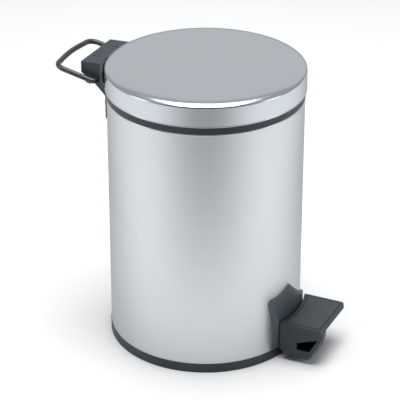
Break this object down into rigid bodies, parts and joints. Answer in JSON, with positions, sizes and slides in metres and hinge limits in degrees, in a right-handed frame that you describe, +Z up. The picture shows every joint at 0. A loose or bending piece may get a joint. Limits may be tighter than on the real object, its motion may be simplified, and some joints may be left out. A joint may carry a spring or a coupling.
{
  "type": "pedal trash can",
  "caption": "Round steel pedal bin: black plastic base, foot pedal linked to a hinged lid, inner bucket with a wire bail, and a wire carry handle at the back.",
  "frame": {"origin": "centre of the flat base on the floor, on the axis of the steel body", "axes": "+Z up; -Y towards the pedal; +Y towards the hinge and carry handle; +X to the right of someone facing the pedal"},
  "size_m": [0.1712, 0.2538, 0.253],
  "materials": {
    "brushed_steel": "fine satin stainless sheet",
    "black_plastic": "fine grained moulded plastic",
    "inner_plastic": "smooth moulded plastic",
    "tread_rubber": "fine grained rubber",
    "handle_coating": "semi-gloss coated wire",
    "zinc_steel": "zinc plated",
    "screw_steel": "zinc plated screws"
  },
  "bodies": {
    "can": {"body_shell": "brushed_steel", "base_pan": "black_plastic", "floor_plate": "inner_plastic", "floor_screws": "screw_steel", "axle_saddles": "zinc_steel", "saddle_screws": "screw_steel", "lever_axle": "zinc_steel", "axle_clip": "zinc_steel", "lever_bushes": "inner_plastic", "pedal_guard": "black_plastic", "guard_screws": "screw_steel", "rim_ring": "black_plastic", "hinge_bracket": "black_plastic", "bracket_clamps": "zinc_steel", "bracket_screws": "screw_steel", "hinge_pin": "zinc_steel", "rod_guides": "inner_plastic", "inner_bucket": "inner_plastic"},
    "lid": {"lid_shell": "brushed_steel", "lid_liner": "inner_plastic", "lid_bumpers": "tread_rubber", "hinge_tongue": "black_plastic", "tongue_screws": "screw_steel"},
    "pedal": {"pedal_lever": "zinc_steel", "pedal_shoe": "black_plastic", "pedal_pad": "tread_rubber", "shoe_screws": "screw_steel"},
    "rod": {"push_rod": "zinc_steel", "rod_clip": "zinc_steel"},
    "handle": {"carry_handle": "handle_coating"},
    "bail": {"bucket_bail": "zinc_steel"}
  },
  "joints": [
    {"name": "lid_hinge", "type": "hinge", "parent": "can", "child": "lid", "pos_m": [0, 0.095, 0.2415], "axis": [-1, 0, 0], "range_deg": [0, 78]},
    {"name": "pedal_pivot", "type": "hinge", "parent": "can", "child": "pedal", "pos_m": [0, -0.074, 0.015], "axis": [1, 0, 0], "range_deg": [0, 7.19]},
    {"name": "rod_slide", "type": "slide", "parent": "can", "child": "rod", "axis": [0, 0, 1], "range_m": [0, 0.0187]},
    {"name": "handle_swing", "type": "hinge", "parent": "can", "child": "handle", "pos_m": [0, 0.0896, 0.2318], "axis": [1, 0, 0], "range_deg": [0, 50]},
    {"name": "bail_swing", "type": "hinge", "parent": "can", "child": "bail", "pos_m": [0, 0, 0.2253], "axis": [-1, 0, 0], "range_deg": [0, 10]}
  ],
  "couplings": [
    {"joint": "pedal_pivot", "follows": "lid_hinge", "ratio": 0.09152},
    {"joint": "rod_slide", "follows": "lid_hinge", "m_per_rad": 0.013681}
  ]
}
